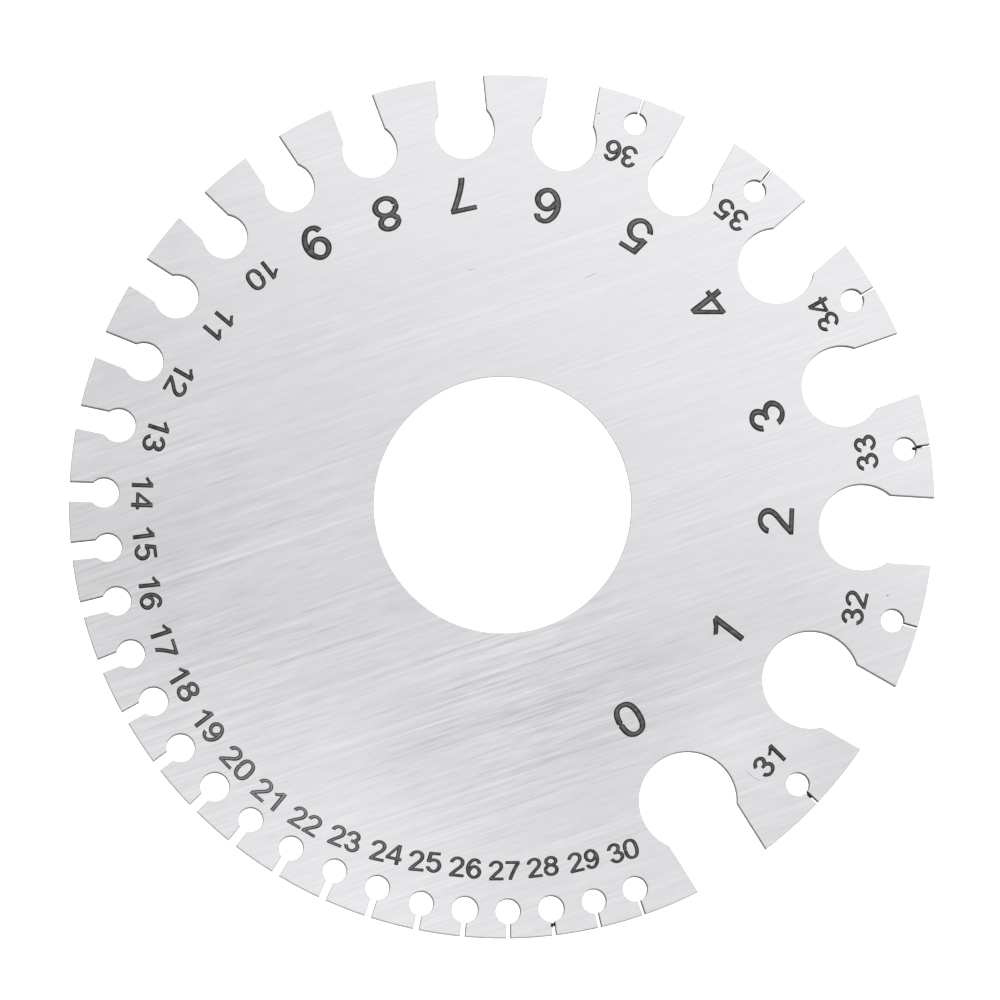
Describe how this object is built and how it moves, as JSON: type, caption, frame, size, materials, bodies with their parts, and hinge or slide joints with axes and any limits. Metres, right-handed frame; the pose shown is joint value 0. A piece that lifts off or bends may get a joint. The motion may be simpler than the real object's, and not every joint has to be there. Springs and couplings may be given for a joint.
{
  "type": "wire gauge plate",
  "caption": "Flat round steel plate with a centre hole and graduated keyhole slots round its rim, for gauging the thickness of wire and sheet metal.",
  "frame": {"origin": "on the axis of the centre hole, in the underside that the plate rests on", "axes": "+Z out of the marked face; +X and +Y in the plate, with the widest slot at 302 degrees counter-clockwise from +X"},
  "size_m": [0.0858, 0.0858, 0.0015],
  "materials": {
    "steel": "satin, brushed one way",
    "marking": "matt, etched numbers",
    "grit": "dull black specks"
  },
  "bodies": {
    "root": {"gauge_plate": "steel"}
  },
  "joints": []
}
